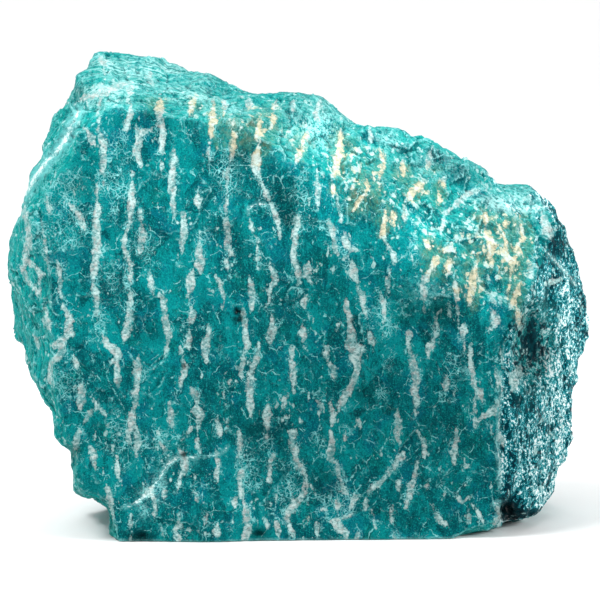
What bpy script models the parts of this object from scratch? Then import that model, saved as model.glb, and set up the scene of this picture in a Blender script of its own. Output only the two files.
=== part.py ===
# Rough perthite: one broken lump of green-blue feldspar, standing on a flat spot.
# Lengths are in millimetres until the mesh is finished. +X is to the right and -Y faces the viewer.

import bmesh
import bpy
from math import cos, radians, sin
from mathutils import Vector, noise

# Driving dimensions
WIDTH = 80.0                  # across the widest part, seen from the front
HALF_DEPTH = 26.0             # the blank reaches this far before and behind its middle
EYE_DISTANCE = 620.0          # the outline is the one seen from here
EYE_RISE = 8.0                # degrees above level
VIEW_CENTRE = Vector((0.0, 0.0, 29.5))

FINE_CELL = 0.8               # mesh spacing while the surface is worked
COARSE_TRIANGLES = 8200       # triangles left in the finished solid
EDGE_ROUNDING = 2             # smoothing passes over the fresh breaks
FLOOR_SNAP = 0.05             # points of the foot this near the floor drop onto it
METRES_PER_MM = 0.001
CUT_TOLERANCE = 0.0001        # a point this near a plane counts as on it

# The outline seen from the front, clockwise from the peak: across and up, from the middle of the view.
# Its lowest run lies below the floor, which cuts it off flat.
OUTLINE = [
    (-26.9, 35.3), (-23.1, 33.8), (-19.1, 34.7), (-15.5, 31.8), (-11.4, 31.1), (-8.1, 28.4),
    (-4.0, 29.2), (-1.0, 28.3), (1.5, 28.4), (4.2, 26.5), (5.6, 24.1), (9.1, 24.4),
    (13.5, 24.1), (16.8, 21.9), (20.2, 19.0), (24.2, 18.7), (26.3, 16.0), (30.0, 16.5),
    (33.3, 14.2), (34.8, 10.5), (36.7, 6.5), (37.4, 1.7), (40.9, -2.3), (40.7, -5.3),
    (36.6, -7.4), (36.3, -11.3), (36.2, -16.9), (35.7, -21.3), (33.9, -22.4), (33.4, -25.7),
    (32.1, -27.4), (29.1, -29.3), (25.2, -30.8), (20.2, -32.2), (18.0, -42.0), (-22.0, -42.0),
    (-26.4, -34.1), (-27.2, -30.5), (-26.9, -27.6), (-28.7, -26.7), (-31.4, -26.1), (-32.6, -23.5),
    (-31.9, -19.6), (-34.4, -17.7), (-34.2, -14.7), (-36.3, -12.5), (-38.6, -7.6), (-40.0, -4.5),
    (-40.0, -0.4), (-41.0, 4.8), (-40.7, 9.2), (-39.3, 13.0), (-37.8, 17.8), (-36.0, 21.4),
    (-34.9, 24.6), (-33.4, 27.1), (-32.1, 29.7), (-31.9, 31.5), (-29.8, 32.3), (-29.3, 34.7),
]

# Breaks: each is a plane through three places, given as across, up and depth behind the middle.
BREAKS = {
    "front face": [(-27.3, 27.0, -13.0), (27.6, -14.0, -14.2), (0.0, -33.4, -17.2)],
    "stained slope": [(-11.0, 24.6, -12.8), (29.0, -2.8, -14.0), (33.0, 15.0, 3.0)],
    "top ledge": [(-28.0, 27.6, -13.0), (-9.0, 25.2, -12.7), (-20.4, 32.9, 1.5)],
    "left shoulder": [(-27.3, 27.4, -13.0), (-38.2, 11.6, -14.4), (-33.4, 29.6, -2.5)],
    "left edge": [(-37.4, 11.5, -14.4), (-32.5, -21.0, -16.8), (-40.0, 4.8, -9.0)],
    "rough right side": [(27.8, -33.4, -16.6), (28.6, -12.0, -14.2), (37.6, -16.9, 8.0)],
    "right shoulder": [(36.2, 12.0, -5.0), (33.2, -4.0, -13.8), (40.6, -2.0, 6.0)],
    "back of the top": [(-20.4, 32.9, 13.5), (1.2, 27.8, 10.0), (-8.0, 16.0, 21.0)],
    "back of the slope": [(9.1, 23.6, 8.0), (33.5, 14.1, 9.5), (22.0, 4.0, 21.5)],
    "back of the left": [(-34.8, 21.1, 3.0), (-40.0, 4.8, -1.0), (-27.0, 2.0, 19.0)],
    "low left flank": [(-39.0, -3.0, 1.0), (-31.1, -23.5, 3.0), (-22.0, -12.0, 20.0)],
    "back of the right": [(39.4, 1.0, 9.0), (37.4, -18.0, 8.0), (27.0, -8.0, 22.0)],
    "main back": [(-18.0, 14.0, 20.5), (24.0, 6.0, 22.5), (2.0, -22.0, 19.0)],
    "under the back": [(-24.0, -29.5, 3.5), (20.0, -30.0, 6.0), (0.0, -16.0, 19.5)],
    "under the right": [(30.0, -30.6, -8.0), (36.0, -22.5, 3.0), (24.0, -33.0, 9.0)],
}

# Scoops and bosses on the surface: centre as across, up and depth, then reach across, up and in depth,
# then how far the surface moves out (a scoop is negative).
DENTS = {
    "dark hollow on the right": ((31.2, -5.8, -8.5), (6.0, 7.0, 8.0), -3.2),
    "hollow under the shoulder": ((2.0, 7.0, -14.5), (17.0, 12.0, 7.0), -0.9),
    "lip over the hollow": ((10.0, 15.0, -9.0), (9.0, 5.0, 8.0), 0.9),
    "low left boss": ((-28.6, -22.8, -15.0), (4.0, 3.6, 8.0), 0.9),
    "notch above the boss": ((-33.0, -14.0, -14.0), (3.0, 3.5, 8.0), -0.8),
    "foot block": ((-14.0, -29.0, -17.0), (9.5, 6.5, 6.0), 0.9),
    "middle swell": ((-12.0, 3.0, -15.0), (14.0, 12.0, 6.0), 0.5),
    "low swell": ((12.0, -24.0, -17.0), (12.0, 6.0, 6.0), 0.7),
    "gap under the right": ((28.6, -29.0, -14.0), (2.4, 4.0, 7.0), -2.6),
    "crown saddle": ((-5.0, 26.0, 2.0), (6.0, 4.0, 9.0), -0.9),
    "right crest": ((26.0, 13.0, -4.0), (7.0, 3.0, 5.0), 0.8),
    "back scoop": ((4.0, 2.0, 22.0), (13.0, 11.0, 9.0), -2.6),
    "back low scoop": ((-17.0, -14.0, 18.0), (9.0, 9.0, 8.0), -1.8),
    "back boss": ((19.0, -6.0, 22.0), (7.0, 9.0, 7.0), 1.4),
}
DENT_SHOULDER = 0.8           # fullness of a scoop's flanks

# Relief of the broken surface
STEP_HEIGHT = 0.6             # height of the cleavage steps
STEP_SPACING = 3.1            # thickness of the sheets that the stone splits into
STEP_LEAN = 0.07              # how far the sheets lean off upright
STEP_WAVER = 1.3              # how far they wander
STEP_WAVER_SIZE = 9.0
TREAD_SHARE = 0.7             # share of a step before its riser
RISER_SHARE = 0.22
CHIP_SIZE = 8.5               # width of the flat chips
CHIP_TILT = 0.16              # how far they lean
CHIP_SHUFFLE = 7.3            # keeps the leans of neighbouring chips apart
CHIP_LEAN_SHIFTS = (Vector((0.0, 0.0, 0.0)), Vector((41.7, 3.1, 8.9)), Vector((5.3, 67.1, 29.9)))
LUMP_SIZE = 13.0
LUMP_HEIGHT = 0.8
GRAIN_SIZE = 2.6
GRAIN_HEIGHT = 0.32
FRONT_CALM = 0.75             # share of the relief that the front face lacks
FRONT_GRAIN_CALM = 0.5

STONE_COLOUR = (0.012, 0.30, 0.30, 1.0)
STONE_ROUGHNESS = 0.45


def place(across, up, depth):
    # The point at this depth on the eye's line of sight through a place in the front view.
    rise = radians(EYE_RISE)
    eye = VIEW_CENTRE + EYE_DISTANCE * Vector((0.0, -cos(rise), sin(rise)))
    seen = VIEW_CENTRE + Vector((across, up * sin(rise), up * cos(rise)))
    sight = seen - eye
    return eye + sight * ((depth - eye.y) / sight.y)


def make_blank():
    # The outline carried along the lines of sight, from before the stone to behind it.
    bm = bmesh.new()
    front = [bm.verts.new(place(across, up, -HALF_DEPTH)) for across, up in OUTLINE]
    back = [bm.verts.new(place(across, up, HALF_DEPTH)) for across, up in OUTLINE]
    bm.faces.new(front)
    bm.faces.new(list(reversed(back)))
    for i in range(len(front)):
        j = (i + 1) % len(front)
        bm.faces.new((front[j], front[i], back[i], back[j]))
    bmesh.ops.recalc_face_normals(bm, faces=bm.faces[:])
    return bm


def split_off(bm, point, normal):
    # Takes away what lies on the normal's side of a plane, and closes the break.
    everything = bm.verts[:] + bm.edges[:] + bm.faces[:]
    bmesh.ops.bisect_plane(
        bm, geom=everything, dist=CUT_TOLERANCE, plane_co=point, plane_no=normal, clear_outer=True
    )
    rim = [edge for edge in bm.edges if edge.is_boundary]
    bmesh.ops.contextual_create(bm, geom=rim)
    bmesh.ops.recalc_face_normals(bm, faces=bm.faces[:])


def break_blank(bm):
    for corners in BREAKS.values():
        a, b, c = (place(*corner) for corner in corners)
        normal = (b - a).cross(c - a).normalized()
        if normal.dot(VIEW_CENTRE - a) > 0.0:
            normal.negate()
        split_off(bm, a, normal)


def remesh(stone, cell):
    stone.data.remesh_voxel_size = cell
    stone.data.use_remesh_preserve_volume = True
    bpy.ops.object.voxel_remesh()


def dent(position):
    # How far the named scoops and bosses push the surface out at this place.
    moved = 0.0
    for centre, (across, up, depth), height in DENTS.values():
        away = position - place(*centre)
        near = (away.x / across) ** 2 + (away.y / depth) ** 2 + (away.z / up) ** 2
        if near < 1.0:
            moved += height * (1.0 - near) ** 2 * (1.0 + DENT_SHOULDER * near)
    return moved


def chips(position):
    # Each cell of a random net is a chip that leans its own way.
    _, centres = noise.voronoi(position / CHIP_SIZE)
    middle = centres[0]
    lean = Vector([noise.noise(middle * CHIP_SHUFFLE + shift) for shift in CHIP_LEAN_SHIFTS])
    return (position - middle * CHIP_SIZE).dot(lean) * CHIP_TILT


def steps(position):
    # The stone splits into sheets parallel to its front, so the other sides show them as steps.
    waver = STEP_WAVER * noise.noise(position / STEP_WAVER_SIZE)
    depth = position.y + waver + STEP_LEAN * position.z
    part = (depth / STEP_SPACING) % 1.0
    riser = min(1.0, max(0.0, (part - TREAD_SHARE) / RISER_SHARE))
    return part - riser * riser * (3.0 - 2.0 * riser)


def relief(position, normal):
    # The front is a cleavage face and stays calm, while the other breaks are rough.
    faces_front = max(0.0, -normal.y) ** 3
    lumps = LUMP_HEIGHT * noise.fractal(position / LUMP_SIZE, 1.0, 2.1, 3)
    grain = GRAIN_HEIGHT * noise.fractal(position / GRAIN_SIZE, 0.8, 2.2, 2)
    broken = lumps + STEP_HEIGHT * steps(position) + chips(position)
    return broken * (1.0 - FRONT_CALM * faces_front) + grain * (1.0 - FRONT_GRAIN_CALM * faces_front)


def work_surface(stone):
    mesh = stone.data
    moved = []
    for vertex in mesh.vertices:
        out = dent(vertex.co) + relief(vertex.co, vertex.normal)
        moved.append(vertex.co + vertex.normal * out)
    for vertex, position in zip(mesh.vertices, moved):
        vertex.co = position
    mesh.update()


def smooth(stone, passes):
    bm = bmesh.new()
    bm.from_mesh(stone.data)
    for _ in range(passes):
        bmesh.ops.smooth_vert(
            bm, verts=bm.verts[:], factor=0.5, use_axis_x=True, use_axis_y=True, use_axis_z=True
        )
    bm.to_mesh(stone.data)
    bm.free()


def thin_out(stone, triangles):
    stone.data.calc_loop_triangles()
    decimate = stone.modifiers.new("Fewer triangles", "DECIMATE")
    decimate.ratio = triangles / len(stone.data.loop_triangles)
    decimate.use_collapse_triangulate = True
    bpy.ops.object.modifier_apply(modifier=decimate.name)


def cut_foot(stone):
    # The stone stands on one flat break, at the floor.
    bm = bmesh.new()
    bm.from_mesh(stone.data)
    split_off(bm, Vector((0.0, 0.0, 0.0)), Vector((0.0, 0.0, -1.0)))
    bm.to_mesh(stone.data)
    bm.free()


def centre_on_floor(stone):
    # Brings the middle of the stone over the origin and turns millimetres into metres.
    bm = bmesh.new()
    bm.from_mesh(stone.data)
    for vertex in bm.verts:
        if abs(vertex.co.z) < FLOOR_SNAP:
            vertex.co.z = 0.0
    for axis in (0, 1):
        values = [vertex.co[axis] for vertex in bm.verts]
        middle = (min(values) + max(values)) / 2.0
        for vertex in bm.verts:
            vertex.co[axis] -= middle
    across = [vertex.co.x for vertex in bm.verts]
    size = METRES_PER_MM * WIDTH / (max(across) - min(across))
    bmesh.ops.scale(bm, vec=Vector((size, size, size)), verts=bm.verts[:])
    bm.to_mesh(stone.data)
    bm.free()


def feldspar():
    material = bpy.data.materials.new("green-blue feldspar")
    material.use_nodes = True
    shader = material.node_tree.nodes["Principled BSDF"]
    shader.inputs["Base Color"].default_value = STONE_COLOUR
    shader.inputs["Roughness"].default_value = STONE_ROUGHNESS
    shader.inputs["Metallic"].default_value = 0.0
    return material


def main():
    for old in list(bpy.data.objects):
        bpy.data.objects.remove(old, do_unlink=True)

    bm = make_blank()
    break_blank(bm)
    mesh = bpy.data.meshes.new("perthite_stone")
    bm.to_mesh(mesh)
    bm.free()
    stone = bpy.data.objects.new("perthite_stone", mesh)
    bpy.context.scene.collection.objects.link(stone)
    bpy.context.view_layer.objects.active = stone
    stone.select_set(True)

    remesh(stone, FINE_CELL)
    smooth(stone, EDGE_ROUNDING)
    work_surface(stone)
    smooth(stone, 1)
    cut_foot(stone)
    thin_out(stone, COARSE_TRIANGLES)
    centre_on_floor(stone)
    stone.data.materials.append(feldspar())


main()
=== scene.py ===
# Rough perthite: one broken lump of green-blue feldspar on a pale floor.
# Lengths are in metres. A name that ends in Mm is in millimetres, and one that ends in Px is in photo pixels.
from math import cos, radians, sin

import bpy
import numpy as np
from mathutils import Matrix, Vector, noise


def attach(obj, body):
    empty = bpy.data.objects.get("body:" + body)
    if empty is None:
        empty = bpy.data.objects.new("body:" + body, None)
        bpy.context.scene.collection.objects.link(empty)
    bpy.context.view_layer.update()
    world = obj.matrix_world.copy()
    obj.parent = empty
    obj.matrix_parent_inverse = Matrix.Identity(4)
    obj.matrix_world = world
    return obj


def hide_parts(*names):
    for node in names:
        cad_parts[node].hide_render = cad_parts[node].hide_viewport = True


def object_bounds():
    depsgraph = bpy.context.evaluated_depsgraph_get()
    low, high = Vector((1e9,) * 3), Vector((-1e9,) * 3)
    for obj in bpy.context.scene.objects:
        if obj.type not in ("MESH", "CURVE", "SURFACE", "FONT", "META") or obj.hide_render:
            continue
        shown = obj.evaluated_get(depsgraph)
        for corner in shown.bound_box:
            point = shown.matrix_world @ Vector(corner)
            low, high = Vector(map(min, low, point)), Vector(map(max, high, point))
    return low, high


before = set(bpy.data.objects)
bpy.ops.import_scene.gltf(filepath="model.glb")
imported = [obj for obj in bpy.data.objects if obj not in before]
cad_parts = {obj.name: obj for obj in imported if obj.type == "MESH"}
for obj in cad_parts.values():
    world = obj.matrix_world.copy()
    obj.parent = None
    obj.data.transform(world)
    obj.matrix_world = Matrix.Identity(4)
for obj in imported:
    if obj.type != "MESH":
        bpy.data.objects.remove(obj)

bpy.ops.object.select_all(action="DESELECT")
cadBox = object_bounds()
mm = 0.001
print("frame loaded, CAD box", [round(v, 4) for corner in cadBox for v in corner])


# Camera

camera = {
    "distance": 0.62,
    "elevation": 8.0,                    # degrees above level
    "aim": Vector((-0.00016, 0.0, 0.02981)),
    "sensor": 36.0,
    "lens": 271.5,
    "pixels": 600,                       # the picture is square
}


def cameraAxes():
    rise = radians(camera["elevation"])
    forward = Vector((0.0, cos(rise), -sin(rise)))
    up = Vector((0.0, sin(rise), cos(rise)))
    return camera["aim"] - forward * camera["distance"], forward, up


def makeCamera():
    eye, forward, _ = cameraAxes()
    bpy.ops.object.camera_add(location=eye, rotation=forward.to_track_quat("-Z", "Y").to_euler())
    made = bpy.context.object
    made.name = "camera"
    made.data.lens = camera["lens"]
    made.data.sensor_width = camera["sensor"]
    made.data.dof.use_dof = False
    bpy.context.scene.camera = made


def toPhoto(points):
    # Where points, given in metres, lie in the picture, in pixels from its top left corner.
    eye, forward, up = (np.array(v) for v in cameraAxes())
    away = points - eye
    size = camera["lens"] / camera["sensor"] * camera["pixels"] / (away @ forward)
    middle = camera["pixels"] / 2
    return np.stack([middle + away[:, 0] * size, middle - (away @ up) * size], axis=1)


def towardsCamera(points, normals):
    # How far each normal turns to the camera: 1 when it points there and 0 when it is square to the way.
    sight = np.array(cameraAxes()[0]) - points
    sight /= np.linalg.norm(sight, axis=1)[:, None]
    return (normals * sight).sum(axis=1)


makeCamera()
print("camera made")


# Stone: its form

stone = {
    "cellMm": 0.29,
    "smoothPasses": 7,
    "triangles": 196000,
    "inset": 0.00012,                    # the relief starts this far under the solid's skin
    "footFade": 0.0012,                  # the relief fades out this near the floor
    "normalPasses": 12,                  # how far the normals that carry the relief are evened out
    "facingSpan": (0.02, 0.3),           # turn to the camera at which ledges and pits start and are full
    "calmSpan": (0.72, 0.95),            # turn to the front at which the stone starts to be calm and is calm
    "chipSizesMm": (6.5, 2.9, 1.35),
    "chipTilts": (0.1, 0.24, 0.3),
    "frontChips": (0.8, 0.45, 0.3),      # share of the chips on the calm front
    "lumpMm": 0.2,
    "lumpSizeMm": 3.4,
    "grainMm": 0.06,
    "grainSizeMm": 0.9,
    "frontGrain": 0.5,                   # share of the grain on the calm front
}
sheets = {
    "stepMm": 0.07,
    "spacingMm": 1.7,
    "waverMm": 0.9,                      # how far a sheet strays from flat
    "waverSizeMm": 7.0,
    "lean": 0.07,                        # mm backwards for each mm upwards
    "riserStart": 0.65,                  # where in a sheet its step starts to rise
    "riserShare": 0.25,                  # share of a sheet that the step takes
}
ledges = {
    "reachPx": 40.0,                     # no ledge works further out than this
    "endShare": 0.15,                    # share of the line over which each end fades
    "edgeMm": (-0.12, 0.2),              # where the edge starts to rise, and where it stands at full height
}

# Edges of broken sheets on the front, in photo pixels. The side on the left of the line's way stands proud:
# points, height in mm, and how far back it fades in mm.
ledgesPx = [
    ([(168, 346), (163, 360), (150, 368), (136, 360), (127, 348)], 0.45, 2.6),
    ([(118, 506), (130, 506), (145, 497), (160, 478), (170, 465), (182, 457), (200, 456),
      (225, 455)], -0.4, 3.2),
    ([(332, 228), (322, 222), (310, 220), (298, 222)], -0.35, 3.0),
    ([(427, 300), (440, 296), (452, 299)], 0.5, 2.5),
    ([(85, 320), (95, 340), (102, 355), (108, 380), (125, 410), (130, 480)], 0.14, 2.2),
    ([(50, 398), (78, 396), (84, 376), (70, 356), (52, 358)], -0.18, 2.0),
    ([(298, 302), (290, 306), (287, 312)], 0.2, 1.5),
    ([(450, 383), (470, 380)], 0.25, 1.6),
    ([(499, 380), (498, 420), (499, 465), (501, 480), (500, 500)], -0.5, 2.4),
    ([(500, 365), (505, 340), (520, 318), (545, 305)], -0.5, 2.5),
    ([(232, 255), (225, 275), (222, 300)], 0.12, 2.0),
    ([(470, 302), (440, 292), (405, 288), (380, 276)], 0.25, 2.4),
]

# Small pits: x, y and reach in photo pixels, and depth in mm.
pitsPx = [
    (236, 309, 3, 0.35), (240, 313, 2.5, 0.3), (238, 320, 2.5, 0.35), (184, 366, 3, 0.4),
    (184, 455, 3, 0.4), (141, 538, 9, 0.9), (259, 535, 8, 0.7),
    (508, 510, 8, 1.0), (545, 362, 7, 0.5), (532, 318, 12, 0.6), (440, 312, 13, 0.5), (326, 480, 10, 0.3),
    (290, 222, 9, 0.3), (152, 115, 8, 0.3), (366, 392, 9, 0.25), (75, 451, 5, 0.4),
]

# Swells and dips of the outline: x, y and reach in photo pixels, and height in mm.
swellsPx = [
    (150, 60, 11, 0.8), (202, 73, 8, 0.5), (222, 79, 9, -0.5), (252, 95, 11, 0.7), (315, 97, 14, 0.45),
    (350, 122, 9, 0.5), (410, 131, 9, -0.7), (466, 162, 12, 0.85), (553, 202, 8, -0.5), (562, 228, 9, 0.4),
    (22, 350, 16, -0.6), (168, 62, 8, -0.4),
]

mmPerPixel = 0.1372                      # at the stone's distance from the camera


def copyOfNode(name):
    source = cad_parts[name]
    made = bpy.data.objects.new(name + "_rough", source.data.copy())
    bpy.context.collection.objects.link(made)
    made.data.materials.clear()
    bpy.ops.object.select_all(action="DESELECT")
    made.select_set(True)
    bpy.context.view_layer.objects.active = made
    bpy.ops.object.mode_set(mode="EDIT")
    bpy.ops.mesh.select_all(action="SELECT")
    bpy.ops.mesh.remove_doubles(threshold=1e-6)
    bpy.ops.object.mode_set(mode="OBJECT")
    return made


def refine(made):
    made.data.remesh_voxel_size = stone["cellMm"] * mm
    made.data.use_remesh_preserve_volume = True
    bpy.ops.object.voxel_remesh()
    bpy.ops.object.mode_set(mode="EDIT")
    bpy.ops.mesh.select_all(action="SELECT")
    bpy.ops.mesh.vertices_smooth(factor=0.5, repeat=stone["smoothPasses"])
    bpy.ops.object.mode_set(mode="OBJECT")


def readPoints(mesh):
    points = np.empty(len(mesh.vertices) * 3)
    mesh.vertices.foreach_get("co", points)
    return points.reshape(-1, 3)


def readNormals(mesh):
    normals = np.empty(len(mesh.vertices) * 3)
    mesh.vertex_normals.foreach_get("vector", normals)
    return normals.reshape(-1, 3)


def readEdges(mesh):
    ends = np.empty(len(mesh.edges) * 2, np.int32)
    mesh.edges.foreach_get("vertices", ends)
    return ends.reshape(-1, 2)


def smoothStep(low, high, value):
    share = np.clip((value - low) / (high - low), 0.0, 1.0)
    return share * share * (3.0 - 2.0 * share)


def averaged(mesh, values, passes):
    # Spreads values over the mesh: each pass gives a point the mean of its neighbours.
    ends = readEdges(mesh)
    count = np.bincount(ends.ravel(), minlength=len(values)).astype(float)
    flat = values.reshape(len(values), -1)
    for _ in range(passes):
        total = np.empty_like(flat)
        for column in range(flat.shape[1]):
            total[:, column] = np.bincount(ends[:, 0], flat[ends[:, 1], column], len(flat))
            total[:, column] += np.bincount(ends[:, 1], flat[ends[:, 0], column], len(flat))
        flat = 0.5 * flat + 0.5 * total / np.maximum(count, 1.0)[:, None]
    return flat.reshape(values.shape)


def spacing(mesh, points):
    # Mean length in metres of the edges around each point.
    ends = readEdges(mesh)
    lengths = np.linalg.norm(points[ends[:, 0]] - points[ends[:, 1]], axis=1)
    count = np.bincount(ends.ravel(), minlength=len(points))
    total = np.bincount(ends.ravel(), np.repeat(lengths, 2), len(points))
    return averaged(mesh, total / np.maximum(count, 1), 3)


def evenNormals(mesh, passes):
    normals = averaged(mesh, readNormals(mesh), passes)
    return normals / np.linalg.norm(normals, axis=1)[:, None]


def nearLine(pixels, places, reach):
    # The places within reach of the box around a line of points, all in pixels.
    low, high = places.min(axis=0) - reach, places.max(axis=0) + reach
    return np.nonzero(((pixels > low) & (pixels < high)).all(axis=1))[0]


def alongLine(pixels, line):
    # Signed distance in pixels of each place to a line of points, positive on the left of its way, and the
    # share of the way along it.
    best = np.full(len(pixels), 1e9)
    side = np.zeros(len(pixels))
    share = np.zeros(len(pixels))
    runs = len(line) - 1
    for i in range(runs):
        start = np.array(line[i][:2], float)
        way = np.array(line[i + 1][:2], float) - start
        at = (pixels - start) @ way / (way @ way)
        inside = np.clip(at, 0.0, 1.0)
        gap = pixels - start - inside[:, None] * way
        distance = np.hypot(gap[:, 0], gap[:, 1])
        nearer = distance < best
        turn = way[1] * (pixels[:, 0] - start[0]) - way[0] * (pixels[:, 1] - start[1])
        best = np.where(nearer, distance, best)
        side = np.where(nearer, np.sign(turn), side)
        share = np.where(nearer, (i + inside) / runs, share)
    return best * side, share


def namedRelief(pixels, facing):
    # Ledges, pits and swells that the picture shows, in mm.
    height = np.zeros(len(pixels))
    for line, tall, fade in ledgesPx:
        near = nearLine(pixels, np.array(line, float), ledges["reachPx"])
        gap, share = alongLine(pixels[near], line)
        gap *= mmPerPixel
        ends = smoothStep(0.0, ledges["endShare"], share) * smoothStep(1.0, 1.0 - ledges["endShare"], share)
        back = np.exp(-np.maximum(gap, 0.0) / fade)
        height[near] += tall * smoothStep(*ledges["edgeMm"], gap) * back * ends
    for x, y, reach, deep in pitsPx:
        gap = np.hypot(pixels[:, 0] - x, pixels[:, 1] - y) / reach
        height -= deep * np.clip(1.0 - gap * gap, 0.0, 1.0) ** 2
    height *= facing
    for x, y, reach, tall in swellsPx:
        gap = np.hypot(pixels[:, 0] - x, pixels[:, 1] - y) / reach
        height += tall * np.exp(-gap * gap)
    return height


def chipHeight(place, tilt):
    # Each cell of a random net is a small flat that leans its own way.
    _, centres = noise.voronoi(place)
    middle = centres[0]
    key = middle * 7.3                   # the offsets below only keep the three noises apart
    lean = Vector((
        noise.noise(key),
        noise.noise(key + Vector((41.7, 3.1, 8.9))),
        noise.noise(key + Vector((5.3, 67.1, 29.9))),
    ))
    return (place - middle).dot(lean) * tilt


def sheetHeight(place):
    # The stone splits into thin sheets along its front, which show as fine steps on the other sides.
    waver = sheets["waverMm"] * noise.noise(place / sheets["waverSizeMm"])
    part = ((place.y + waver + sheets["lean"] * place.z) / sheets["spacingMm"]) % 1.0
    riser = min(1.0, max(0.0, (part - sheets["riserStart"]) / sheets["riserShare"]))
    return part - riser * riser * (3.0 - 2.0 * riser)


def reliefMm(places, calm):
    # Height of the broken surface in mm. calm is 1 on the front and 0 on the rough sides.
    heights = np.empty(len(places))
    scales = list(zip(stone["chipSizesMm"], stone["chipTilts"], stone["frontChips"]))
    for i, (place, still) in enumerate(zip(places.tolist(), calm.tolist())):
        point = Vector(place)
        height = 0.0
        for size, tilt, share in scales:
            height += chipHeight(point / size, tilt * size) * (1.0 + still * (share - 1.0))
        height += stone["lumpMm"] * noise.fractal(point / stone["lumpSizeMm"], 1.0, 2.1, 2)
        grain = noise.fractal(point / stone["grainSizeMm"], 0.9, 2.2, 2)
        height += stone["grainMm"] * grain * (1.0 - (1.0 - stone["frontGrain"]) * still)
        if still < 0.95:
            height += sheets["stepMm"] * sheetHeight(point) * (1.0 - still)
        heights[i] = height
    return heights


def roughen(made):
    mesh = made.data
    points = readPoints(mesh)
    normals = evenNormals(mesh, stone["normalPasses"])
    facing = smoothStep(*stone["facingSpan"], towardsCamera(points, normals))
    calm = smoothStep(*stone["calmSpan"], -normals[:, 1])
    height = reliefMm(points / mm, calm) + namedRelief(toPhoto(points), facing)
    height = height * mm - stone["inset"]
    height *= smoothStep(0.0, stone["footFade"], points[:, 2])
    points = points + normals * height[:, None]
    points = np.clip(points, np.array(cadBox[0]), np.array(cadBox[1]))
    mesh.vertices.foreach_set("co", points.ravel())
    mesh.update()


def thinHidden(made):
    # Keeps the fine mesh where the picture looks and thins it where it doesn't.
    mesh = made.data
    normals = averaged(mesh, readNormals(mesh), stone["normalPasses"])
    hidden = np.nonzero(towardsCamera(readPoints(mesh), normals) < 0.0)[0]
    group = made.vertex_groups.new(name="hidden")
    group.add(hidden.tolist(), 1.0, "REPLACE")
    mesh.calc_loop_triangles()
    count = len(mesh.loop_triangles)
    thin = made.modifiers.new("thin", "DECIMATE")
    thin.ratio = min(1.0, stone["triangles"] / count)
    thin.vertex_group = group.name
    thin.use_collapse_triangulate = True
    bpy.ops.object.modifier_apply(modifier=thin.name)
    made.vertex_groups.remove(made.vertex_groups["hidden"])
    print("triangles", count, "->", len(made.data.polygons))


piece = copyOfNode("perthite_stone")
refine(piece)
print("refined to", len(piece.data.vertices), "points")
roughen(piece)
thinHidden(piece)


# Stone: where its colours lie

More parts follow.
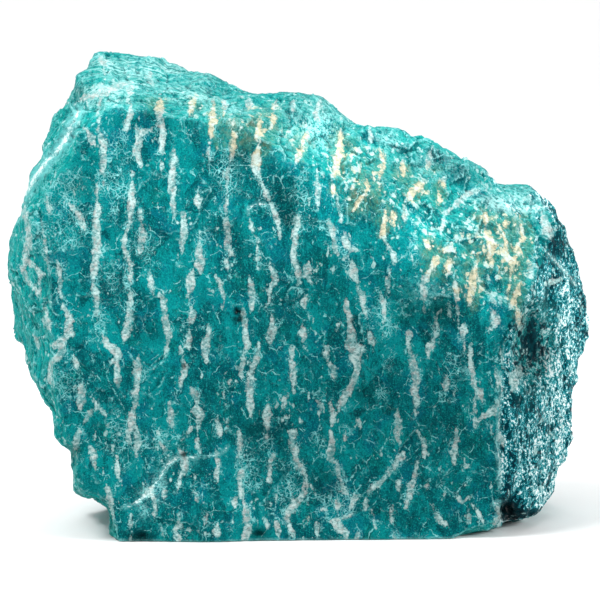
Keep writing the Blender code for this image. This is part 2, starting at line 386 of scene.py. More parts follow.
# Pale streaks as chains of x, y and width, in photo pixels, read along each streak.
streaksPx = [
    # top ledge
    [(84, 98, 6), (98, 94, 8), (112, 89, 7), (125, 84, 5)], [(131, 84, 5), (130, 92, 6), (128, 100, 4)],
    [(150, 71, 3), (149, 78, 4)], [(100, 58, 5), (103, 64, 6), (104, 70, 4)],
    # top left
    [(100, 100, 5), (98, 110, 5), (98, 130, 4)],
    [(101, 135, 5), (103, 145, 8), (104, 160, 8), (103, 172, 7), (104, 180, 4), (103, 187, 3)],
    [(84, 128, 3), (88, 131, 7), (92, 140, 5), (96, 147, 3)],
    [(131, 106, 3), (130, 115, 8), (127, 125, 5), (126, 134, 3)],
    [(137, 130, 5), (138, 140, 7), (137, 150, 8), (139, 160, 6), (140, 165, 4)],
    [(140, 132, 5), (145, 132, 7), (152, 128, 5)],
    [(160, 103, 7), (160, 113, 8), (162, 125, 9), (164, 135, 6), (162, 147, 4), (160, 158, 3),
     (162, 170, 4)],
    [(173, 150, 4), (173, 162, 8), (172, 175, 9), (172, 188, 9), (173, 197, 7), (174, 208, 4),
     (174, 215, 3)],
    [(132, 170, 3), (132, 180, 5), (132, 192, 8), (131, 203, 10), (131, 213, 7), (130, 222, 5),
     (127, 232, 5),
     (124, 245, 6), (127, 255, 7), (131, 268, 6), (129, 285, 5), (130, 300, 7), (129, 315, 8),
     (127, 330, 8),
     (124, 338, 5)],
    [(97, 188, 5), (98, 198, 7), (97, 210, 7), (96, 220, 7), (96, 235, 9), (98, 245, 10), (95, 262, 7),
     (93, 275, 7), (95, 290, 7), (97, 300, 5), (98, 308, 6), (97, 318, 5)],
    [(48, 200, 3), (49, 208, 7), (50, 213, 4)],
    [(66, 198, 3), (70, 206, 5), (77, 213, 8), (82, 222, 7), (84, 228, 3)],
    [(23, 205, 4), (26, 215, 6), (28, 230, 6), (29, 240, 7), (28, 250, 7), (26, 262, 5)],
    [(30, 262, 4), (34, 268, 5), (40, 275, 6), (40, 290, 3)],
    [(22, 270, 5), (28, 280, 5), (32, 285, 4), (38, 293, 4), (45, 298, 5)],
    [(42, 222, 3), (45, 240, 4), (47, 255, 3), (50, 270, 2)],
    [(140, 213, 3), (141, 225, 6), (143, 235, 9), (141, 245, 6), (139, 252, 3)],
    [(183, 213, 3), (183, 225, 6), (183, 235, 7), (182, 250, 5)],
    [(198, 194, 5), (199, 200, 8), (199, 205, 5)],
    [(195, 97, 5), (192, 105, 6), (190, 113, 5)],
    [(151, 73, 3), (150, 80, 3)],
    # middle left
    [(58, 265, 5), (60, 280, 5), (59, 290, 5), (62, 297, 3)],
    [(148, 265, 4), (151, 275, 5), (151, 285, 6), (154, 295, 4)],
    [(158, 292, 3), (163, 303, 6), (165, 320, 7), (169, 333, 8), (167, 345, 6), (164, 355, 4)],
    [(199, 245, 7), (198, 256, 10), (200, 265, 9), (200, 272, 4)],
    [(192, 272, 6), (190, 285, 9), (189, 297, 6), (190, 303, 4)],
    [(191, 308, 4), (193, 315, 6), (190, 325, 5), (189, 335, 5), (189, 345, 6)],
    [(46, 313, 5), (48, 322, 6), (50, 330, 4)],
    [(63, 305, 4), (66, 312, 7), (70, 322, 9), (68, 335, 9), (62, 340, 8), (55, 345, 7)],
    [(64, 340, 7), (62, 352, 8), (50, 365, 6), (50, 380, 4)],
    [(73, 353, 3), (76, 362, 6), (77, 368, 4)],
    [(35, 335, 3), (38, 345, 4)],
    [(103, 335, 5), (106, 345, 6), (114, 350, 10), (117, 355, 10), (112, 362, 5)],
    [(117, 365, 6), (118, 375, 7), (118, 383, 4)],
    [(138, 360, 5), (137, 370, 10), (138, 380, 10), (136, 392, 7), (135, 400, 6), (133, 412, 7),
     (131, 425, 10),
     (128, 432, 7), (129, 440, 5)],
    [(181, 350, 4), (183, 360, 7), (184, 366, 8), (182, 378, 7), (181, 385, 3)],
    [(81, 382, 4), (81, 392, 8), (80, 402, 9), (80, 408, 4)],
    [(92, 398, 4), (95, 402, 7), (96, 408, 5)],
    [(90, 413, 7), (86, 419, 7), (83, 424, 5)],
    [(193, 392, 8), (197, 400, 5), (196, 412, 10), (200, 415, 8), (199, 425, 5), (197, 437, 5),
     (198, 447, 6),
     (200, 452, 4)],
    [(169, 402, 3), (170, 410, 6), (172, 420, 7), (171, 427, 4)],
    # top middle
    [(213, 102, 3), (213, 112, 6), (213, 122, 8), (211, 132, 7), (210, 142, 4), (209, 155, 3),
     (210, 170, 2)],
    [(224, 102, 5), (224, 110, 4)],
    [(249, 102, 6), (249, 105, 6)],
    [(233, 124, 5), (234, 133, 8), (234, 143, 8), (232, 152, 6), (229, 163, 4), (228, 175, 3),
     (227, 190, 3),
     (226, 203, 4), (225, 215, 5), (227, 228, 7), (228, 245, 6), (232, 254, 5)],
    [(226, 262, 5), (227, 268, 3)],
    [(259, 127, 8), (257, 137, 6), (258, 148, 6), (256, 156, 8), (256, 165, 9), (258, 175, 5),
     (262, 185, 6),
     (268, 196, 6), (272, 206, 6), (275, 216, 6), (279, 224, 7), (280, 235, 4)],
    [(264, 130, 5), (271, 128, 5), (274, 120, 5), (273, 110, 5), (276, 103, 4)],
    [(293, 103, 5), (293, 107, 5)],
    [(319, 104, 6), (316, 113, 7), (317, 120, 6)],
    [(306, 136, 6), (303, 145, 5), (300, 153, 6), (297, 160, 4)],
    [(340, 131, 4), (340, 142, 9), (339, 152, 8), (337, 162, 8), (334, 172, 6), (331, 180, 4)],
    [(333, 188, 5), (333, 192, 5)],
    [(317, 172, 3), (317, 182, 5), (318, 195, 6), (318, 205, 5)],
    [(337, 197, 4), (339, 207, 4), (341, 220, 4)],
    [(366, 178, 4), (369, 187, 6), (366, 192, 6), (361, 199, 5), (357, 206, 4), (351, 213, 3)],
    [(380, 150, 5), (384, 162, 5), (381, 172, 3), (379, 182, 3)],
    [(370, 131, 5), (371, 138, 5)],
    [(393, 213, 7), (393, 217, 6)],
    [(385, 210, 4), (385, 220, 7), (383, 232, 8), (385, 243, 4), (393, 252, 4), (395, 262, 5),
     (389, 272, 7),
     (388, 280, 6), (389, 292, 4)],
    [(249, 212, 4), (250, 222, 4), (253, 233, 5), (257, 240, 4), (257, 252, 4), (257, 262, 5),
     (258, 268, 3)],
    # centre
    [(298, 216, 4), (297, 225, 7), (295, 238, 8), (293, 250, 7), (295, 262, 8), (298, 272, 7),
     (298, 283, 6)],
    [(308, 267, 8), (306, 276, 8), (309, 280, 5)],
    [(330, 222, 5), (333, 235, 6), (335, 247, 6), (337, 253, 4)],
    [(344, 232, 3), (345, 242, 8), (350, 250, 6), (357, 250, 4)],
    [(348, 254, 4), (345, 258, 6)],
    [(352, 265, 7), (353, 275, 8), (357, 283, 4), (361, 295, 9), (363, 305, 6), (366, 315, 4)],
    [(269, 262, 3), (272, 272, 5), (275, 281, 7), (270, 290, 7), (270, 298, 4), (267, 306, 3),
     (261, 311, 2)],
    [(215, 276, 4), (220, 281, 4), (222, 292, 5), (224, 300, 4), (223, 306, 3)],
    [(249, 275, 2), (251, 287, 6), (252, 297, 5), (251, 308, 4)],
    [(243, 308, 4), (245, 322, 6), (246, 335, 7), (247, 346, 6), (243, 358, 5), (241, 368, 4),
     (241, 376, 2)],
    [(208, 325, 3), (209, 333, 7), (205, 343, 9), (206, 353, 6), (207, 362, 2)],
    [(271, 312, 3), (273, 322, 7), (271, 335, 9), (270, 345, 4)],
    [(302, 320, 3), (303, 330, 9), (303, 338, 6), (304, 346, 3)],
    [(307, 296, 5), (303, 302, 6), (308, 312, 3), (309, 318, 2)],
    [(346, 302, 3), (347, 311, 6), (350, 317, 7)],
    [(337, 330, 4), (340, 325, 6)],
    [(350, 325, 8), (352, 335, 8), (350, 345, 10), (357, 350, 14), (355, 358, 13), (358, 365, 8),
     (356, 375, 8),
     (352, 385, 6), (347, 395, 8), (342, 403, 8), (340, 408, 5)],
    [(327, 345, 3), (326, 353, 8), (329, 362, 4), (333, 370, 8), (334, 378, 4)],
    [(291, 348, 4), (291, 360, 6), (293, 372, 8), (294, 382, 6), (294, 390, 3)],
    [(259, 343, 4), (258, 352, 6), (255, 363, 7), (251, 375, 7), (249, 385, 8), (250, 400, 8),
     (251, 410, 5),
     (251, 416, 3)],
    [(230, 382, 3), (226, 387, 5), (224, 395, 4), (225, 405, 4)],
    [(284, 397, 7), (283, 405, 4), (282, 410, 2)],
    [(268, 405, 4), (268, 413, 8), (266, 420, 6), (268, 428, 4), (267, 435, 6), (266, 441, 4)],
    [(318, 402, 5), (322, 408, 5)],
    [(368, 328, 3), (371, 338, 6), (374, 346, 4)],
    [(381, 295, 3), (385, 308, 5), (384, 320, 4), (383, 332, 3)],
    # slope
    [(432, 148, 6), (429, 158, 6), (427, 168, 5)],
    [(403, 168, 8), (403, 173, 7)],
    [(421, 184, 9), (414, 190, 9), (409, 197, 8)],
    [(405, 211, 8), (405, 216, 7)],
    [(444, 181, 5), (444, 186, 5)],
    [(439, 190, 4), (439, 200, 6)],
    [(477, 191, 5), (468, 194, 6), (461, 200, 7), (454, 207, 6), (447, 212, 5), (443, 218, 5),
     (442, 228, 6)],
    [(486, 216, 7), (486, 220, 6)],
    [(505, 223, 5), (505, 228, 4)],
    [(487, 234, 8), (492, 245, 9), (491, 255, 8), (492, 265, 5)],
    [(463, 233, 4), (463, 238, 4)],
    [(425, 240, 5), (428, 247, 4)],
    [(442, 252, 5), (450, 249, 9), (455, 252, 6)],
    [(439, 256, 5), (434, 263, 8), (430, 271, 6), (426, 278, 5), (422, 285, 8), (424, 292, 7),
     (424, 302, 5),
     (424, 313, 3)],
    [(449, 263, 8), (449, 268, 6)],
    [(479, 256, 3), (477, 265, 5), (474, 275, 7), (472, 285, 9), (470, 295, 8), (470, 305, 3)],
    [(455, 285, 6), (456, 293, 6), (458, 303, 4), (458, 315, 3), (459, 328, 2)],
    [(504, 235, 3), (506, 253, 7), (506, 258, 4)],
    [(520, 218, 4), (522, 227, 4), (524, 237, 7), (517, 247, 5)],
    [(519, 252, 4), (514, 260, 7), (511, 270, 6), (510, 282, 3), (509, 292, 4)],
    [(519, 286, 5), (516, 294, 8), (513, 303, 6)],
    [(528, 262, 4), (530, 270, 7), (532, 280, 5), (532, 290, 4)],
    [(545, 222, 10), (548, 232, 10)],
    [(550, 283, 7), (558, 280, 5)],
    [(491, 297, 3), (496, 306, 4)],
    [(494, 313, 7), (496, 322, 9), (491, 329, 5)],
    [(435, 320, 4), (436, 330, 7), (434, 340, 6), (430, 347, 8), (428, 355, 4)],
    [(449, 303, 3), (450, 314, 2)],
    [(517, 312, 6), (520, 325, 6)],
    # right
    [(410, 332, 6), (409, 345, 6), (412, 358, 6), (415, 370, 9), (416, 380, 9), (414, 392, 6),
     (416, 402, 7),
     (415, 412, 6), (413, 420, 3)],
    [(417, 430, 2), (422, 440, 8), (424, 448, 6), (424, 454, 3)],
    [(463, 328, 7), (462, 338, 5), (465, 350, 5)],
    [(471, 340, 4), (470, 358, 5), (471, 370, 5), (474, 383, 6), (477, 392, 5), (475, 402, 4),
     (475, 415, 4),
     (475, 425, 3)],
    [(480, 382, 5), (481, 393, 4), (483, 402, 2)],
    [(446, 382, 6), (445, 390, 4)],
    [(497, 373, 6), (498, 380, 6), (498, 390, 3)],
    [(501, 352, 3), (502, 365, 3), (508, 372, 4), (510, 380, 3)],
    [(520, 368, 6), (517, 375, 12), (514, 384, 10), (512, 392, 4)],
    [(497, 402, 4), (494, 410, 9), (488, 415, 7), (480, 419, 6), (476, 422, 4)],
    [(490, 422, 3), (492, 432, 3), (496, 436, 5), (502, 441, 8), (504, 447, 4)],
    [(457, 433, 4), (457, 442, 7), (453, 452, 9), (454, 462, 4)],
    [(465, 460, 4), (466, 466, 6), (463, 470, 3)],
    [(417, 463, 7), (415, 475, 5), (411, 485, 6), (409, 495, 9), (407, 503, 4)],
    [(427, 486, 7), (427, 490, 5)],
    [(445, 492, 3), (445, 497, 3)],
    [(457, 498, 5), (463, 503, 5), (469, 498, 3)],
    [(432, 507, 4), (436, 513, 5), (440, 520, 6), (446, 525, 6)],
    [(469, 516, 8), (469, 521, 6)],
    [(478, 512, 4), (482, 520, 5)],
    [(497, 508, 4), (499, 516, 6), (495, 524, 5)],
    # low left
    [(102, 412, 4), (106, 415, 6), (108, 420, 3), (110, 428, 2)],
    [(79, 430, 4), (77, 437, 7), (76, 444, 6)],
    [(90, 448, 6), (93, 456, 8), (94, 464, 5), (95, 470, 2)],
    [(117, 460, 5), (118, 472, 5), (120, 482, 4), (121, 487, 2)],
    [(138, 433, 5), (138, 443, 8), (136, 452, 6), (135, 459, 3)],
    [(158, 430, 4), (161, 445, 5), (165, 448, 4)],
    [(190, 430, 4), (186, 437, 3), (181, 440, 2)],
    [(180, 450, 4), (183, 460, 9), (184, 470, 7), (184, 476, 3)],
    [(152, 488, 6), (150, 493, 10), (155, 502, 5), (155, 515, 4)],
    [(180, 475, 4), (179, 485, 6), (177, 492, 3)],
    [(164, 491, 6), (164, 496, 5)],
    [(216, 452, 4), (218, 465, 6), (217, 477, 6)],
    [(217, 420, 5), (219, 427, 7), (220, 435, 3)],
    [(228, 420, 3), (227, 430, 3)],
    [(194, 492, 3), (196, 500, 5)],
    [(206, 512, 4), (205, 520, 6)],
    [(180, 515, 3), (179, 524, 6), (176, 532, 5), (178, 538, 8)],
    [(190, 530, 4), (197, 531, 4), (204, 533, 4)],
    [(217, 530, 6), (217, 535, 5)],
    [(107, 487, 4), (110, 498, 7), (112, 508, 5), (113, 520, 2)],
    [(131, 515, 2), (131, 525, 4)],
    [(161, 525, 3), (163, 533, 3), (165, 538, 2)],
    # low middle
    [(239, 433, 3), (240, 442, 6), (239, 452, 3), (240, 462, 4), (241, 472, 7), (240, 483, 4),
     (241, 493, 7),
     (243, 500, 3), (246, 510, 7), (247, 520, 10), (247, 530, 9), (245, 538, 8)],
    [(235, 501, 6), (235, 505, 5)],
    [(283, 420, 6), (286, 417, 3)],
    [(301, 422, 5), (303, 428, 4)],
    [(294, 432, 7), (291, 440, 6), (293, 448, 9), (296, 455, 6), (297, 464, 8), (303, 470, 5),
     (306, 478, 5),
     (305, 488, 5), (303, 496, 7), (296, 503, 7), (289, 509, 6), (287, 517, 6), (289, 526, 6),
     (293, 535, 5)],
    [(274, 455, 4), (271, 460, 4), (270, 470, 5), (270, 480, 6)],
    [(290, 488, 4), (292, 497, 5), (294, 504, 4)],
    [(275, 490, 3), (276, 498, 4)],
    [(264, 508, 3), (266, 518, 6), (267, 524, 6)],
    [(276, 522, 4), (278, 532, 7)],
    [(331, 405, 4), (332, 415, 6), (331, 428, 5), (332, 440, 7), (331, 450, 8), (329, 458, 8),
     (338, 463, 5),
     (339, 475, 3), (343, 487, 5), (345, 492, 6)],
    [(346, 430, 3), (345, 440, 4)],
    [(359, 420, 3), (361, 427, 4), (362, 432, 2)],
    [(397, 408, 4), (398, 420, 5), (397, 430, 6), (399, 443, 4)],
    [(402, 455, 7), (396, 465, 6), (390, 472, 5), (383, 480, 6), (377, 486, 6), (370, 490, 5),
     (366, 497, 5),
     (365, 506, 5)],
    [(360, 497, 3), (353, 500, 6), (351, 508, 6)],
    [(355, 512, 3), (348, 516, 4), (340, 520, 6), (332, 521, 5), (340, 527, 9), (346, 532, 7),
     (346, 538, 5)],
    [(371, 510, 3), (374, 518, 4), (376, 528, 4), (377, 534, 3)],
    [(392, 508, 4), (390, 517, 6), (392, 527, 4), (394, 534, 3)],
    [(327, 503, 4), (325, 509, 6), (320, 510, 3)],
    [(337, 504, 5), (337, 508, 4)],
    [(312, 487, 3), (316, 494, 4)],
    [(317, 528, 6), (317, 532, 5)],
    [(308, 516, 4), (308, 519, 3)],
    [(358, 535, 5), (358, 538, 4)],
    [(398, 484, 6), (398, 487, 5)],
]

# Hairlines: fine healed cracks, and painted highlights along the edges of ledges that catch the light, in
# photo pixels.
hairlinesAndLitEdgesPx = [
    [(85, 320), (95, 340), (102, 355), (108, 380), (125, 410), (130, 480)],
    [(90, 350), (98, 378)],
    [(140, 183), (160, 178)],
    [(230, 165), (252, 166)],
    [(248, 212), (250, 208), (260, 205), (270, 208)],
    [(298, 302), (290, 306), (287, 312)],
    [(450, 382), (470, 380)],
    [(65, 432), (66, 426), (72, 424), (80, 426)],
    [(178, 445), (183, 437), (190, 436)],
    [(203, 490), (201, 505)],
    [(367, 440), (379, 455), (388, 437)],
    [(380, 420), (388, 418)],
    [(145, 455), (148, 470), (153, 460)],
    [(298, 222), (310, 220), (322, 222), (330, 226)],
    [(128, 352), (150, 367), (168, 350)],
    [(118, 505), (130, 505), (145, 497), (160, 478), (170, 465), (182, 457), (200, 456), (225, 455)],
    [(545, 250), (560, 263), (570, 275), (580, 288), (590, 300)],
    [(590, 330), (545, 375), (520, 400)],
    [(499, 465), (501, 480), (500, 495)],
    [(50, 398), (78, 396), (84, 376), (70, 356), (52, 358)],
]

# Soft patches as x, y, half width, half height in photo pixels, and strength. The first table is painted
# shade and painted light with some tone that differs at random: shade in pits, hollows, under ledges and in
# gaps at the foot, light on the lit slope, crown and left shoulder, and a painted fall of the light from the
# upper left to the lower right.
paintedShadeLightAndTonePx = [
    (242, 156, 14, 8, -0.6), (228, 230, 18, 14, -0.45), (287, 198, 16, 20, -0.7), (289, 222, 9, 15, -0.7),
    (78, 180, 20, 22, -0.35), (151, 115, 12, 8, -0.5), (237, 311, 2.6, 2.8, -2.6),
    (240, 319, 2.4, 3, -2.4), (235, 319, 1.6, 2.4, -1.6), (243, 313, 1.6, 2, -1.4),
    (410, 308, 13, 18, -0.5),
    (441, 312, 16, 17, -0.9), (328, 480, 15, 13, -0.6), (257, 432, 20, 11, -0.4), (365, 392, 13, 11, -0.5),
    (148, 332, 16, 15, -0.4), (75, 451, 8, 9, -0.6), (141, 538, 12, 6, -1.6), (259, 535, 10, 7, -1.0),
    (184, 366, 2.5, 2.5, -2.0), (184, 455, 2.5, 2.5, -2.0), (532, 350, 24, 38, -0.45),
    (532, 318, 14, 18, -0.3),
    (545, 362, 8, 14, -0.4), (508, 511, 10, 10, -1.8), (78, 92, 9, 9, -0.5), (340, 300, 60, 80, -0.15),
    (450, 440, 60, 90, -0.25), (540, 450, 40, 70, -0.2), (88, 497, 18, 10, -0.3), (560, 240, 16, 26, -0.5),
    (88, 117, 12, 9, 0.35), (116, 110, 13, 7, 0.3), (483, 309, 9, 9, 0.3), (420, 225, 26, 28, 0.1),
    (322, 130, 14, 12, 0.4), (60, 260, 50, 90, -0.1), (120, 80, 50, 18, 0.05), (400, 140, 60, 20, 0.2),
    (430, 225, 90, 45, 0.3), (554, 250, 22, 40, 0.25), (330, 145, 60, 30, 0.3), (305, 212, 50, 42, 0.5),
    (170, 170, 70, 60, 0.15),
    (157, 488, 9, 12, 0.5), (143, 509, 7, 9, 0.4),
    (330, 430, 140, 100, -0.45), (100, 430, 80, 60, -0.2), (80, 180, 50, 70, 0.1), (300, 270, 60, 60, -0.2),
    (440, 380, 60, 90, -0.15),
]
stainsPx = [
    (215, 120, 9, 24, 0.9), (234, 136, 10, 18, 0.9), (258, 140, 10, 26, 0.9), (272, 118, 10, 16, 0.6),
    (301, 148, 9, 16, 0.7), (339, 155, 10, 28, 0.9), (333, 191, 6, 6, 0.9), (363, 195, 14, 18, 0.8),
    (382, 160, 8, 16, 0.6), (403, 170, 7, 7, 0.9), (415, 190, 12, 10, 0.6), (413, 198, 4, 4, 1.4),
    (392, 218, 12, 14, 0.7), (439, 196, 7, 12, 0.7), (486, 218, 7, 7, 0.8), (505, 228, 8, 12, 0.7),
    (491, 240, 9, 12, 0.7), (427, 243, 8, 8, 0.7), (436, 266, 12, 16, 0.6), (475, 280, 10, 26, 0.8),
    (456, 290, 7, 9, 0.6), (505, 250, 8, 18, 0.8), (521, 232, 10, 22, 0.9), (514, 262, 10, 16, 0.9),
    (516, 293, 8, 12, 0.7), (519, 318, 8, 12, 0.6), (160, 108, 10, 9, 0.5), (194, 105, 9, 12, 0.8),
    (155, 101, 16, 7, 0.6), (435, 169, 12, 6, 0.6), (355, 150, 18, 22, 0.35), (255, 130, 46, 30, 0.3),
    (512, 258, 20, 46, 0.35), (352, 525, 5, 5, 0.3), (308, 517, 4, 4, 0.5), (470, 240, 50, 40, 0.3),
    (400, 190, 50, 30, 0.15), (300, 140, 60, 22, 0.15), (417, 190, 9, 7, 1.0), (402, 174, 9, 8, 1.0),
    (440, 190, 7, 8, 1.0), (436, 262, 16, 14, 0.9), (490, 250, 8, 12, 0.8), (472, 282, 7, 26, 1.0),
    (369, 190, 12, 20, 0.9), (382, 225, 7, 14, 0.9), (352, 210, 6, 8, 0.9), (525, 240, 8, 14, 1.0),
    (515, 292, 7, 12, 1.0), (480, 215, 8, 8, 0.5),
]
netsPx = [
    (118, 143, 13, 17), (117, 185, 14, 22), (68, 185, 25, 17), (65, 232, 27, 30), (112, 278, 14, 24),
    (65, 380, 18, 18), (101, 324, 8, 8), (149, 247, 11, 14), (207, 235, 9, 17), (228, 175, 20, 28),
    (315, 226, 17, 6), (380, 397, 7, 9), (317, 442, 9, 9), (290, 482, 12, 28), (120, 440, 12, 22),
    (455, 367, 12, 20), (412, 250, 9, 12), (573, 324, 20, 26), (385, 320, 14, 20), (250, 470, 16, 30),
    (560, 400, 24, 30), (220, 110, 26, 14), (300, 196, 16, 16), (340, 500, 24, 20), (160, 440, 20, 14),
]
# Places with many small pale blotches.
flecksPx = [
    (480, 245, 46, 40, 0.9), (500, 290, 26, 24, 0.6), (410, 225, 30, 30, 0.8), (450, 290, 30, 20, 0.5),
    (345, 170, 44, 40, 0.6), (570, 330, 20, 22, 0.3), (400, 170, 50, 30, 0.35), (260, 130, 40, 26, 0.4),
    (100, 440, 30, 30, 0.3), (300, 500, 60, 30, 0.15),
]
# Bright bands with fine lines along the sheets.
bandsPx = [
    (98, 90, 22, 5, 0.9), (135, 84, 14, 4, 0.7), (150, 68, 60, 12, 0.6), (115, 95, 12, 6, 0.5),
    (105, 63, 5, 7, 0.9), (320, 106, 26, 12, 0.3), (512, 201, 34, 11, 0.6), (525, 208, 22, 4, 0.9),
    (190, 96, 30, 10, 0.5),
]
# Places of pale grainy cyan: partly bleached stone, partly a painted highlight on the lit crown of the slope,
# on the top ledge and on a lit edge low on the left.
bleachedAndHighlightPx = [
    (312, 132, 28, 17, 1.0), (388, 138, 9, 8, 1.0), (250, 118, 40, 14, 0.3), (350, 112, 30, 10, 0.4),
    (430, 165, 50, 14, 0.4), (520, 204, 30, 10, 0.6), (100, 103, 28, 6, 0.7),
    (573, 324, 16, 22, 0.5), (425, 290, 14, 10, 0.4), (130, 90, 50, 12, 0.3), (148, 493, 7, 5, 1.2),
    (158, 484, 7, 12, 0.6), (178, 461, 14, 4, 0.5), (143, 509, 6, 9, 0.5),
]
# Places on the right side without painted glints.
dullPx = [(530, 342, 20, 36, 1.0)]
# Border between the calm front and the rough right side, from the top down.
sidePx = [
    (552, 215), (546, 250), (532, 285), (514, 318), (504, 345), (501, 380), (500, 402), (499, 425),
    (498, 450),
    (500, 470), (500, 486), (501, 500), (496, 530),
]
# Where the painted glints lie thicker, and with a minus thinner.
gleamPx = [
    (562, 440, 12, 60, 0.01), (574, 325, 14, 20, 0.01), (566, 288, 12, 9, 0.07), (552, 366, 14, 8, 0.03),
    (553, 500, 16, 10, 0.03), (514, 430, 14, 50, -0.03),
    (528, 408, 14, 12, -0.06), (556, 255, 20, 44, -0.07), (512, 500, 12, 14, -0.05),
    (550, 300, 20, 30, -0.04), (540, 430, 40, 80, -0.012),
]
# Painted shade: near-black in the hollow of the right side, in pits on the front, in the gaps at the foot,
# and high on the right side.
paintedShadePx = [
    (529, 345, 22, 36, 0.85), (238, 314, 7, 10, 0.75), (508, 510, 9, 11, 1.3), (530, 514, 26, 6, 1.0),
    (556, 240, 10, 22, 0.4),
]
# White healed cracks and worn edges, and painted highlights on edges that catch the light, with their widths
# in photo pixels.
veinsAndLitEdgesPx = [
    [(122, 508, 1), (130, 506, 2), (138, 501, 3), (147, 494, 5), (153, 487, 3), (160, 477, 3),
     (168, 463, 3),
     (176, 459, 3), (186, 458, 2), (200, 457, 1.5), (215, 455, 1.5), (222, 453, 1), (228, 446, 1)],
    [(500, 372, 1.5), (502, 388, 2), (500, 402, 2), (499, 425, 1.5), (498, 450, 2), (500, 470, 2.5),
     (500, 486, 2)],
    [(548, 253, 2), (556, 262, 3), (567, 274, 3), (576, 285, 2)],
    [(505, 206, 2), (520, 209, 3), (535, 208, 4), (545, 207, 3)],
    [(75, 104, 3), (86, 98, 3), (98, 93, 4), (112, 89, 3), (125, 85, 2), (137, 82, 1)],
    [(493, 505, 2), (500, 500, 3), (497, 515, 2)],
    [(248, 214, 1), (249, 208, 2), (256, 204, 2), (264, 204, 2), (271, 208, 1)],
]
# The pale rim of the left shoulder: partly a worn edge, partly a painted highlight where the light from the
# upper left catches it.
rimPx = [
    (78, 112, 3), (72, 125, 3), (65, 140, 4), (58, 150, 3), (50, 158, 3), (40, 170, 3), (33, 180, 4),
    (27, 190, 4), (20, 200, 4), (17, 215, 3),
]

# Soft patches by the name of the mask that each table fills.
patchTables = {
    "paintedShadeLightAndTone": paintedShadeLightAndTonePx,
    "stain": stainsPx,
    "net": netsPx,
    "flecks": flecksPx,
    "band": bandsPx,
    "bleachedAndHighlight": bleachedAndHighlightPx,
    "paintedShade": paintedShadePx,
    "gleam": gleamPx,
}
masks = {
    "tipLength": 1.1,                    # of a streak's pointed end, in widths of that end
    "reachPx": 14.0,                     # no streak or crack works further out than this
    "farMm": -3.0,                       # depth in a streak of a place far from all of them
    "normalPasses": 6,
    "seenSpan": (0.0, 0.16),             # turn to the camera at which a place starts to be seen and is seen
    "rightSpan": (0.34, 0.62),           # turn to the right, for the rough right side
    "rightFrom": (0.022, 0.03),          # metres right of the middle at which that side starts
    "hollowSpan": (0.35, 0.9),           # turn to the front at which that side loses its painted glints
    "borderSpanPx": (-1.0, 2.0),         # across the border of that side
    "borderFromPx": (205.0, 240.0),      # how far down the picture the border starts
    "frontSpan": (0.6, 0.9),             # turn to the front
    "bendPasses": 5,
}


def withTips(line):
    # Draws both ends of a streak out to a point.
    places = np.array(line, float)
    tips = []
    for end, inner in ((places[0], places[1]), (places[-1], places[-2])):
        way = end[:2] - inner[:2]
        way *= end[2] * masks["tipLength"] / np.linalg.norm(way)
        tips.append([end[0] + way[0], end[1] + way[1], 0.0])
    return np.vstack([tips[0], places, tips[1]])


def streakField(pixels, lines):
    # How deep in mm a place lies in the nearest streak, and below zero outside.
    field = np.full(len(pixels), masks["farMm"])
    for line in lines:
        places = np.array(line, float)
        near = nearLine(pixels, places[:, :2], masks["reachPx"])
        if len(near) == 0:
            continue
        gap, share = alongLine(pixels[near], line)
        widths = places[:, 2]
        wide = np.interp(share, np.linspace(0.0, 1.0, len(widths)), widths)
        field[near] = np.maximum(field[near], (wide / 2.0 - np.abs(gap)) * mmPerPixel)
    return field


def patches(pixels, rows):
    total = np.zeros(len(pixels))
    for x, y, wide, tall, *strength in rows:
        gap = ((pixels[:, 0] - x) / wide) ** 2 + ((pixels[:, 1] - y) / tall) ** 2
        total += (strength[0] if strength else 1.0) * np.exp(-gap)
    return total


def keepValues(mesh, name, values):
    layer = mesh.attributes.new(name, "FLOAT", "POINT")
    layer.data.foreach_set("value", values.astype(np.float32))


def glintShare(points, normals, pixels, seen):
    # 1 on the rough right side, where glints are painted, except in its hollow and in the dull places.
    across = smoothStep(*masks["rightSpan"], normals[:, 0]) * smoothStep(*masks["rightFrom"], points[:, 0])
    across *= 1.0 - smoothStep(*masks["hollowSpan"], -normals[:, 1])
    border = np.array(sidePx, float)
    beyond = pixels[:, 0] - np.interp(pixels[:, 1], border[:, 1], border[:, 0])
    beyond = smoothStep(*masks["borderSpanPx"], beyond)
    beyond *= smoothStep(*masks["borderFromPx"], pixels[:, 1]) * seen
    return np.maximum(across, beyond) * (1.0 - np.clip(patches(pixels, dullPx), 0.0, 1.0))


def bendMm(mesh, points, normals):
    # How far a place stands out from its surroundings in mm, as on the fine mesh.
    bend = ((averaged(mesh, points, masks["bendPasses"]) - points) * normals).sum(axis=1) / mm
    return -bend * np.minimum(1.0, (stone["cellMm"] * mm / spacing(mesh, points)) ** 2)


def colourPlaces(made):
    mesh = made.data
    points = readPoints(mesh)
    normals = evenNormals(mesh, masks["normalPasses"])
    seen = smoothStep(*masks["seenSpan"], towardsCamera(points, normals))
    pixels = toPhoto(points)
    hairlinesAndLitEdges = [[(x, y, 0) for x, y in line] for line in hairlinesAndLitEdgesPx]
    # name: lines, and the depth in mm that takes their place where the picture doesn't look
    lineTables = {
        "streaks": ([withTips(line) for line in streaksPx], -1.5),
        "hairAndLitEdge": (hairlinesAndLitEdges, -1.0),
        "rim": ([rimPx], -1.0),
        "veinAndLitEdge": (veinsAndLitEdgesPx, -1.0),
    }
    for name, (lines, unseen) in lineTables.items():
        keepValues(mesh, name, streakField(pixels, lines) * seen + unseen * (1.0 - seen))
    for name, rows in patchTables.items():
        keepValues(mesh, name, patches(pixels, rows) * seen)
    keepValues(mesh, "seen", seen)
    keepValues(mesh, "glint", glintShare(points, normals, pixels, seen))
    keepValues(mesh, "front", smoothStep(*masks["frontSpan"], -normals[:, 1]))
    keepValues(mesh, "bend", bendMm(mesh, points, normals))


colourPlaces(piece)
print("colour places kept")


# Stone: its material

